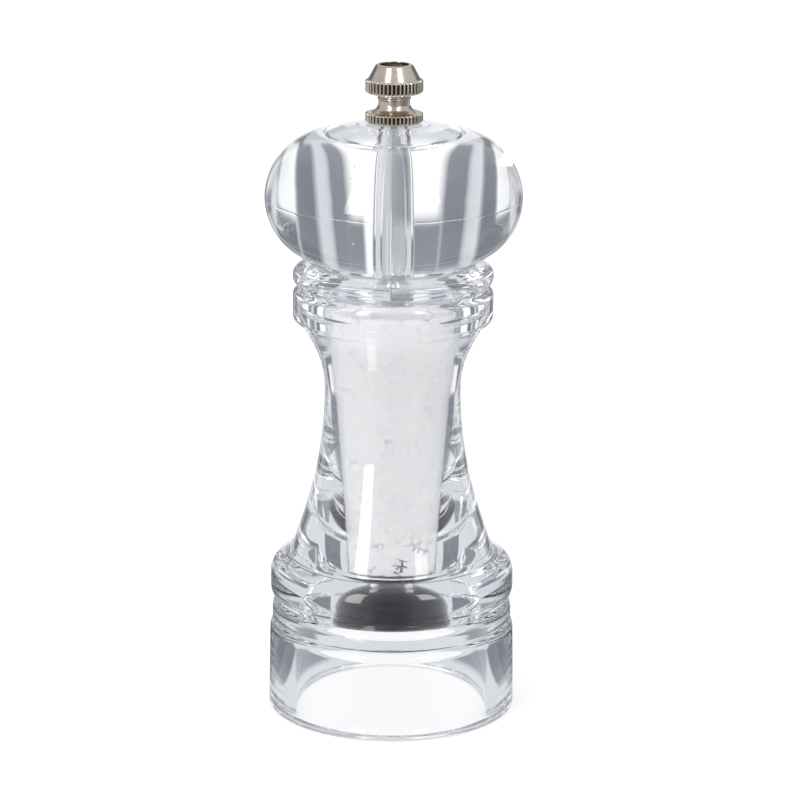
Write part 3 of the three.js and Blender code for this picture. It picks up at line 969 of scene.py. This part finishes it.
def make_nut(material):
    """The finial nut: two knurled rings, a waist with a bead, and a bored cone on top."""
    outline = rounded(
        [
            at(NUT_BORE_RADIUS, NUT_BOTTOM, 0.15),
            at(KNURL_INNER_RADIUS, NUT_BOTTOM, 0.1),
            at(KNURL_RADIUS, NUT_BOTTOM + 0.4, 0.12),
            at(KNURL_RADIUS, LOWER_KNURL_TOP, 0.12),
            at(KNURL_INNER_RADIUS, LOWER_KNURL_END, 0.1),
            at(5.4, LOWER_KNURL_END, 0.15),
            at(4.4, 149.3, 0.3),
            at(NUT_WAIST_RADIUS, 150.3, 0.3),
            at(NUT_WAIST_RADIUS, NUT_BEAD_HEIGHT - 0.4, 0.1),
            at(NUT_WAIST_RADIUS + 0.32, NUT_BEAD_HEIGHT, 0.25),
            at(NUT_WAIST_RADIUS, NUT_BEAD_HEIGHT + 0.4, 0.1),
            at(NUT_WAIST_RADIUS, UPPER_KNURL_START, 0.15),
            at(KNURL_RADIUS - 0.5, UPPER_KNURL_START, 0.1),
            at(KNURL_RADIUS, UPPER_KNURL_BOTTOM, 0.12),
            at(KNURL_RADIUS, UPPER_KNURL_TOP, 0.12),
            at(6.3, 156.5, 0.12),
            at(NUT_MOUTH_RADIUS + 0.9, 159.9, 0.25),
            at(NUT_MOUTH_RADIUS + 0.5, NUT_TOP, 0.12),
            at(NUT_MOUTH_RADIUS, NUT_TOP, 0.12),
            at(NUT_MOUTH_RADIUS, NUT_MOUTH_BOTTOM, 0.1),
            at(NUT_BORE_RADIUS, NUT_MOUTH_BOTTOM - 0.3, 0.1),
        ],
        steps=4,
    )

    def knurl(r, z, angles):
        on_lower = NUT_BOTTOM + 0.2 < z < LOWER_KNURL_TOP + 0.12
        on_upper = UPPER_KNURL_BOTTOM - 0.25 < z < UPPER_KNURL_TOP + 0.1
        if r < KNURL_INNER_RADIUS or not (on_lower or on_upper):
            return round_form(r, z, angles)
        phase = np.abs(((angles * KNURL_TEETH / (2 * math.pi)) % 1.0) * 2 - 1)
        flat = 0.18  # the share of a tooth's width that its land and its groove's floor each take
        tooth = np.clip((phase - flat) / (1 - 2 * flat), 0, 1)
        depth = KNURL_DEPTH * min(1.0, (r - KNURL_INNER_RADIUS) / 0.4)
        return round_form(r, z, angles) - depth * (1 - tooth)

    parts = spin(outline, KNURL_TEETH * 12, knurl)
    return build("knurled_nut", parts, "nut", material, "finial_nut")


def make_housing(material):
    """The black cartridge that holds the burrs."""
    flange_bottom = CAVITY_CEILING - 1.9
    flange_top = CAVITY_CEILING - 0.3
    outline = rounded(
        [
            at(BURR_SEAT_RADIUS, HOUSING_BOTTOM, 0.15),
            at(HOUSING_RADIUS, HOUSING_BOTTOM, 0.4),
            at(HOUSING_RADIUS, flange_bottom, 0.15),
            at(HOUSING_FLANGE_RADIUS, flange_bottom, 0.3),
            at(HOUSING_FLANGE_RADIUS, flange_top, 0.3),
            at(HOUSING_RADIUS, flange_top, 0.1),
            at(HOUSING_RADIUS, HOUSING_TOP, 0.4),
            at(BRIDGE_RING_RADIUS + 0.3, HOUSING_TOP, 0.1),
            at(BRIDGE_RING_RADIUS + 0.3, LEDGE_TOP, 0.1),
            at(LEDGE_RADIUS, LEDGE_TOP, 0.1),
            at(LEDGE_RADIUS, LEDGE_BOTTOM, 0.1),
            at(BURR_SEAT_RADIUS, LEDGE_BOTTOM, 0.1),
        ],
        steps=4,
    )
    parts = spin(outline, HOUSING_SEGMENTS)
    return build("cartridge", parts, "root", material, "mechanism_housing")


def make_spring(material):
    """The coil spring between the inner burr and the bush."""
    wire = SPRING_WIRE / 2
    reach = SPRING_TOP - SPRING_BOTTOM - SPRING_WIRE
    steps = SPRING_TURNS * 40
    sides = 12
    points = []
    normals = []
    for i in range(steps + 1):
        t = i / steps
        angle = t * SPRING_TURNS * 2 * math.pi
        outward = Vector((math.cos(angle), math.sin(angle), 0))
        centre = outward * SPRING_RADIUS + Vector((0, 0, SPRING_BOTTOM + wire + t * reach))
        for j in range(sides):
            around = j / sides * 2 * math.pi
            normal = outward * math.cos(around) + Vector((0, 0, math.sin(around)))
            points.append(centre + normal * wire)
            normals.append(normal)
    faces = []
    for i in range(steps):
        for j in range(sides):
            k = (j + 1) % sides
            row = i * sides
            up = row + sides
            faces.append((row + j, up + j, up + k, row + k))
    faces.append(tuple(range(sides)))
    faces.append(tuple(reversed(range(steps * sides, (steps + 1) * sides))))
    parts = (np.array(points) * MM, faces, None)
    spring = build("burr_spring", parts, "drive", material, "spring")
    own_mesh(spring)
    return spring


def finish_cad_nodes(white, ceramic, black, metal):
    """Materials and softened edges for the hidden pieces, whose CAD shapes are kept."""
    finishes = {
        "burr_retaining_ring": black,
        "outer_burr": ceramic,
        "inner_burr": ceramic,
        "burr_carrier": white,
        "shaft_washer": metal,
        "shaft_clip": metal,
        "bridge": white,
        "shaft_bush": white,
    }
    for name, material in finishes.items():
        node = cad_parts[name]
        for slot in node.material_slots:
            slot.material = material
        edges = node.modifiers.new("soft_edges", "BEVEL")
        edges.width = 0.0001
        edges.segments = 2
        edges.limit_method = "ANGLE"
        edges.angle_limit = math.radians(35)


# ---- Assembly -----------------------------------------------------------------------------

scene = bpy.context.scene
scene.view_settings.view_transform = "Standard"
scene.cycles.max_bounces = 28
scene.cycles.transmission_bounces = 28
scene.cycles.glossy_bounces = 10
scene.cycles.diffuse_bounces = 4

make_camera()
make_world()
make_floor()
black_plastic = moulded(
    "black_plastic",
    dark=(0.006, 0.0065, 0.007),
    light=(0.013, 0.0135, 0.015),
    roughness=(0.07, 0.16),
    grain=900.0,
)
white_plastic = moulded(
    "white_acetal",
    dark=(0.74, 0.74, 0.71),
    light=(0.83, 0.83, 0.8),
    roughness=(0.35, 0.5),
    grain=700.0,
)
ceramic_body = moulded(
    "grey_ceramic",
    dark=(0.74, 0.72, 0.67),
    light=(0.86, 0.84, 0.79),
    roughness=(0.5, 0.7),
    grain=1200.0,
)
stainless = steel()
make_body(acrylic("clear_acrylic_body"))
make_head(acrylic("clear_acrylic_head"))
make_salt(salt_material())
make_shaft(aluminium())
make_nut(nickel())
make_housing(black_plastic)
make_spring(stainless)
finish_cad_nodes(white_plastic, ceramic_body, black_plastic, stainless)
